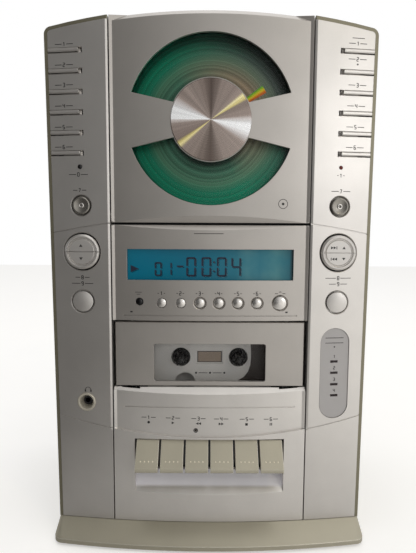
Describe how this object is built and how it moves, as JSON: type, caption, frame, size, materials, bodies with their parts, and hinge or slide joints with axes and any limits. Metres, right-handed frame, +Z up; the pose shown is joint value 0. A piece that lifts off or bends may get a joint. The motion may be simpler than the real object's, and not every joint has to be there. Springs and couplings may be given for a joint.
{
  "type": "cassette and CD player",
  "caption": "Upright compact stereo with a bowed front, round-windowed CD door, display, cassette door and piano keys on a flared foot.",
  "frame": {"origin": "on the floor, under the middle of the bounding box", "axes": "+X to the right as seen from the front, +Y to the back, +Z up; the front faces -Y"},
  "size_m": [0.2226, 0.16, 0.3634],
  "materials": {
    "silver_plastic": "satin silver paint",
    "champagne_plastic": "satin champagne paint",
    "dark_plastic": "matt black",
    "grey_plastic": "matt grey",
    "clear_plastic": "clear, polished",
    "smoked_lens": "smoked, polished",
    "display_glass": "polished",
    "board": "mixed board parts",
    "spun_aluminium": "spun",
    "steel": "ground",
    "disc_plastic": "mirrored",
    "rubber": "matt",
    "chrome_ring": "polished"
  },
  "bodies": {
    "cabinet": {"base_stand": "champagne_plastic", "rubber_feet": "rubber", "rear_shell": "champagne_plastic", "rear_terminals": "dark_plastic", "main_board": "board", "left_panel": "silver_plastic", "right_panel": "silver_plastic", "equaliser_lens": "smoked_lens", "headphone_jack": "dark_plastic", "front_frame": "dark_plastic", "cd_chassis": "dark_plastic", "tuner_panel": "silver_plastic", "lcd_module": "display_glass", "cassette_deck": "grey_plastic", "lower_panel": "silver_plastic", "key_shaft": "steel"},
    "cd_lid": {"cd_door": "silver_plastic", "cd_door_window": "clear_plastic", "cd_medallion": "spun_aluminium"},
    "disc_drive": {"cd_turntable": "dark_plastic", "compact_disc": "disc_plastic"},
    "disc_clamp": {"cd_clamp": "dark_plastic"},
    "pickup": {"laser_pickup": "dark_plastic"},
    "cassette_lid": {"cassette_door": "silver_plastic", "cassette_door_window": "clear_plastic", "cassette_holder": "dark_plastic"},
    "supply_reel": {"supply_spindle": "dark_plastic"},
    "take_up_reel": {"take_up_spindle": "dark_plastic"},
    "heads": {"head_carriage": "steel"},
    "record_lever": {"record_key": "champagne_plastic"},
    "play_lever": {"play_key": "champagne_plastic"},
    "rewind_lever": {"rewind_key": "champagne_plastic"},
    "fast_forward_lever": {"fast_forward_key": "champagne_plastic"},
    "stop_eject_lever": {"stop_eject_key": "champagne_plastic"},
    "pause_lever": {"pause_key": "champagne_plastic"},
    "left_bar_1_cap": {"left_bar_1": "champagne_plastic"},
    "left_bar_2_cap": {"left_bar_2": "champagne_plastic"},
    "left_bar_3_cap": {"left_bar_3": "champagne_plastic"},
    "left_bar_4_cap": {"left_bar_4": "champagne_plastic"},
    "left_bar_5_cap": {"left_bar_5": "champagne_plastic"},
    "left_bar_6_cap": {"left_bar_6": "champagne_plastic"},
    "right_bar_1_cap": {"right_bar_1": "champagne_plastic"},
    "right_bar_2_cap": {"right_bar_2": "champagne_plastic"},
    "right_bar_3_cap": {"right_bar_3": "champagne_plastic"},
    "right_bar_4_cap": {"right_bar_4": "champagne_plastic"},
    "right_bar_5_cap": {"right_bar_5": "champagne_plastic"},
    "right_bar_6_cap": {"right_bar_6": "champagne_plastic"},
    "preset_button_1_cap": {"preset_button_1": "champagne_plastic"},
    "preset_button_2_cap": {"preset_button_2": "champagne_plastic"},
    "preset_button_3_cap": {"preset_button_3": "champagne_plastic"},
    "preset_button_4_cap": {"preset_button_4": "champagne_plastic"},
    "preset_button_5_cap": {"preset_button_5": "champagne_plastic"},
    "preset_button_6_cap": {"preset_button_6": "champagne_plastic"},
    "mode_button_cap": {"mode_button": "champagne_plastic"},
    "power_button_cap": {"power_button": "champagne_plastic"},
    "bass_button_cap": {"bass_button": "champagne_plastic"},
    "band_button_cap": {"band_button": "champagne_plastic"},
    "equaliser_button_cap": {"equaliser_button": "champagne_plastic"},
    "volume_rocker_cap": {"volume_rocker": "chrome_ring"},
    "tuning_rocker_cap": {"tuning_rocker": "chrome_ring"}
  },
  "joints": [
    {"name": "cd_door_hinge", "type": "hinge", "parent": "cabinet", "child": "cd_lid", "pos_m": [0, -0.058, 0.2305], "axis": [1, 0, 0], "range_deg": [0, 40]},
    {"name": "turntable_spin", "type": "hinge", "parent": "cabinet", "child": "disc_drive", "pos_m": [0, -0.051, 0.2928], "axis": [0, 1, 0], "continuous": true},
    {"name": "clamp_spin", "type": "hinge", "parent": "cd_lid", "child": "disc_clamp", "pos_m": [0, -0.056, 0.2928], "axis": [0, 1, 0], "continuous": true},
    {"name": "laser_slide", "type": "slide", "parent": "cabinet", "child": "pickup", "axis": [1, 0, 0], "range_m": [0, 0.028]},
    {"name": "cassette_door_hinge", "type": "hinge", "parent": "cabinet", "child": "cassette_lid", "pos_m": [0, -0.053, 0.092], "axis": [1, 0, 0], "range_deg": [0, 20]},
    {"name": "supply_spin", "type": "hinge", "parent": "cabinet", "child": "supply_reel", "pos_m": [-0.02125, -0.04, 0.127], "axis": [0, 1, 0], "continuous": true},
    {"name": "take_up_spin", "type": "hinge", "parent": "cabinet", "child": "take_up_reel", "pos_m": [0.02125, -0.04, 0.127], "axis": [0, 1, 0], "continuous": true},
    {"name": "head_slide", "type": "slide", "parent": "cabinet", "child": "heads", "axis": [0, 0, 1], "range_m": [0, 0.0036], "stiffness_N_per_m": 150, "springref_m": -0.004},
    {"name": "record_press", "type": "hinge", "parent": "cabinet", "child": "record_lever", "pos_m": [-0.04325, -0.054, 0.0805], "axis": [1, 0, 0], "range_deg": [0, 10], "stiffness_Nm_per_rad": 0.05, "springref_deg": -10.03},
    {"name": "play_press", "type": "hinge", "parent": "cabinet", "child": "play_lever", "pos_m": [-0.02595, -0.054, 0.0805], "axis": [1, 0, 0], "range_deg": [0, 10]},
    {"name": "rewind_press", "type": "hinge", "parent": "cabinet", "child": "rewind_lever", "pos_m": [-0.00865, -0.054, 0.0805], "axis": [1, 0, 0], "range_deg": [0, 10], "stiffness_Nm_per_rad": 0.05, "springref_deg": -10.03},
    {"name": "fast_forward_press", "type": "hinge", "parent": "cabinet", "child": "fast_forward_lever", "pos_m": [0.00865, -0.054, 0.0805], "axis": [1, 0, 0], "range_deg": [0, 10], "stiffness_Nm_per_rad": 0.05, "springref_deg": -10.03},
    {"name": "stop_eject_press", "type": "hinge", "parent": "cabinet", "child": "stop_eject_lever", "pos_m": [0.02595, -0.054, 0.0805], "axis": [1, 0, 0], "range_deg": [0, 10], "stiffness_Nm_per_rad": 0.05, "springref_deg": -10.03},
    {"name": "pause_press", "type": "hinge", "parent": "cabinet", "child": "pause_lever", "pos_m": [0.04325, -0.054, 0.0805], "axis": [1, 0, 0], "range_deg": [0, 10], "stiffness_Nm_per_rad": 0.05, "springref_deg": -10.03},
    {"name": "left_bar_1_press", "type": "slide", "parent": "cabinet", "child": "left_bar_1_cap", "axis": [0, 1, 0], "range_m": [0, 0.0009], "stiffness_N_per_m": 150, "springref_m": -0.002},
    {"name": "left_bar_2_press", "type": "slide", "parent": "cabinet", "child": "left_bar_2_cap", "axis": [0, 1, 0], "range_m": [0, 0.0009], "stiffness_N_per_m": 150, "springref_m": -0.002},
    {"name": "left_bar_3_press", "type": "slide", "parent": "cabinet", "child": "left_bar_3_cap", "axis": [0, 1, 0], "range_m": [0, 0.0009], "stiffness_N_per_m": 150, "springref_m": -0.002},
    {"name": "left_bar_4_press", "type": "slide", "parent": "cabinet", "child": "left_bar_4_cap", "axis": [0, 1, 0], "range_m": [0, 0.0009], "stiffness_N_per_m": 150, "springref_m": -0.002},
    {"name": "left_bar_5_press", "type": "slide", "parent": "cabinet", "child": "left_bar_5_cap", "axis": [0, 1, 0], "range_m": [0, 0.0009], "stiffness_N_per_m": 150, "springref_m": -0.002},
    {"name": "left_bar_6_press", "type": "slide", "parent": "cabinet", "child": "left_bar_6_cap", "axis": [0, 1, 0], "range_m": [0, 0.0009], "stiffness_N_per_m": 150, "springref_m": -0.002},
    {"name": "right_bar_1_press", "type": "slide", "parent": "cabinet", "child": "right_bar_1_cap", "axis": [0, 1, 0], "range_m": [0, 0.0009], "stiffness_N_per_m": 150, "springref_m": -0.002},
    {"name": "right_bar_2_press", "type": "slide", "parent": "cabinet", "child": "right_bar_2_cap", "axis": [0, 1, 0], "range_m": [0, 0.0009], "stiffness_N_per_m": 150, "springref_m": -0.002},
    {"name": "right_bar_3_press", "type": "slide", "parent": "cabinet", "child": "right_bar_3_cap", "axis": [0, 1, 0], "range_m": [0, 0.0009], "stiffness_N_per_m": 150, "springref_m": -0.002},
    {"name": "right_bar_4_press", "type": "slide", "parent": "cabinet", "child": "right_bar_4_cap", "axis": [0, 1, 0], "range_m": [0, 0.0009], "stiffness_N_per_m": 150, "springref_m": -0.002},
    {"name": "right_bar_5_press", "type": "slide", "parent": "cabinet", "child": "right_bar_5_cap", "axis": [0, 1, 0], "range_m": [0, 0.0009], "stiffness_N_per_m": 150, "springref_m": -0.002},
    {"name": "right_bar_6_press", "type": "slide", "parent": "cabinet", "child": "right_bar_6_cap", "axis": [0, 1, 0], "range_m": [0, 0.0009], "stiffness_N_per_m": 150, "springref_m": -0.002},
    {"name": "preset_button_1_press", "type": "slide", "parent": "cabinet", "child": "preset_button_1_cap", "axis": [0, 1, 0], "range_m": [0, 0.0009], "stiffness_N_per_m": 150, "springref_m": -0.002},
    {"name": "preset_button_2_press", "type": "slide", "parent": "cabinet", "child": "preset_button_2_cap", "axis": [0, 1, 0], "range_m": [0, 0.0009], "stiffness_N_per_m": 150, "springref_m": -0.002},
    {"name": "preset_button_3_press", "type": "slide", "parent": "cabinet", "child": "preset_button_3_cap", "axis": [0, 1, 0], "range_m": [0, 0.0009], "stiffness_N_per_m": 150, "springref_m": -0.002},
    {"name": "preset_button_4_press", "type": "slide", "parent": "cabinet", "child": "preset_button_4_cap", "axis": [0, 1, 0], "range_m": [0, 0.0009], "stiffness_N_per_m": 150, "springref_m": -0.002},
    {"name": "preset_button_5_press", "type": "slide", "parent": "cabinet", "child": "preset_button_5_cap", "axis": [0, 1, 0], "range_m": [0, 0.0009], "stiffness_N_per_m": 150, "springref_m": -0.002},
    {"name": "preset_button_6_press", "type": "slide", "parent": "cabinet", "child": "preset_button_6_cap", "axis": [0, 1, 0], "range_m": [0, 0.0009], "stiffness_N_per_m": 150, "springref_m": -0.002},
    {"name": "mode_button_press", "type": "slide", "parent": "cabinet", "child": "mode_button_cap", "axis": [0, 1, 0], "range_m": [0, 0.0009], "stiffness_N_per_m": 150, "springref_m": -0.002},
    {"name": "power_button_press", "type": "slide", "parent": "cabinet", "child": "power_button_cap", "axis": [0, 1, 0], "range_m": [0, 0.0009], "stiffness_N_per_m": 150, "springref_m": -0.002},
    {"name": "bass_button_press", "type": "slide", "parent": "cabinet", "child": "bass_button_cap", "axis": [0, 1, 0], "range_m": [0, 0.0009], "stiffness_N_per_m": 150, "springref_m": -0.002},
    {"name": "band_button_press", "type": "slide", "parent": "cabinet", "child": "band_button_cap", "axis": [0, 1, 0], "range_m": [0, 0.0009], "stiffness_N_per_m": 150, "springref_m": -0.002},
    {"name": "equaliser_button_press", "type": "slide", "parent": "cabinet", "child": "equaliser_button_cap", "axis": [0, 1, 0], "range_m": [0, 0.0009], "stiffness_N_per_m": 150, "springref_m": -0.002},
    {"name": "volume_rocker_tilt", "type": "hinge", "parent": "cabinet", "child": "volume_rocker_cap", "pos_m": [-0.0878, -0.05555, 0.2051], "axis": [1, 0, 0], "range_deg": [-3, 3], "stiffness_Nm_per_rad": 0.05},
    {"name": "tuning_rocker_tilt", "type": "hinge", "parent": "cabinet", "child": "tuning_rocker_cap", "pos_m": [0.0878, -0.05555, 0.2051], "axis": [1, 0, 0], "range_deg": [-3, 3], "stiffness_Nm_per_rad": 0.05}
  ],
  "couplings": [
    {"joint": "clamp_spin", "follows": "turntable_spin", "ratio": 1},
    {"joint": "play_press", "follows": "head_slide", "rad_per_m": 48.4}
  ]
}
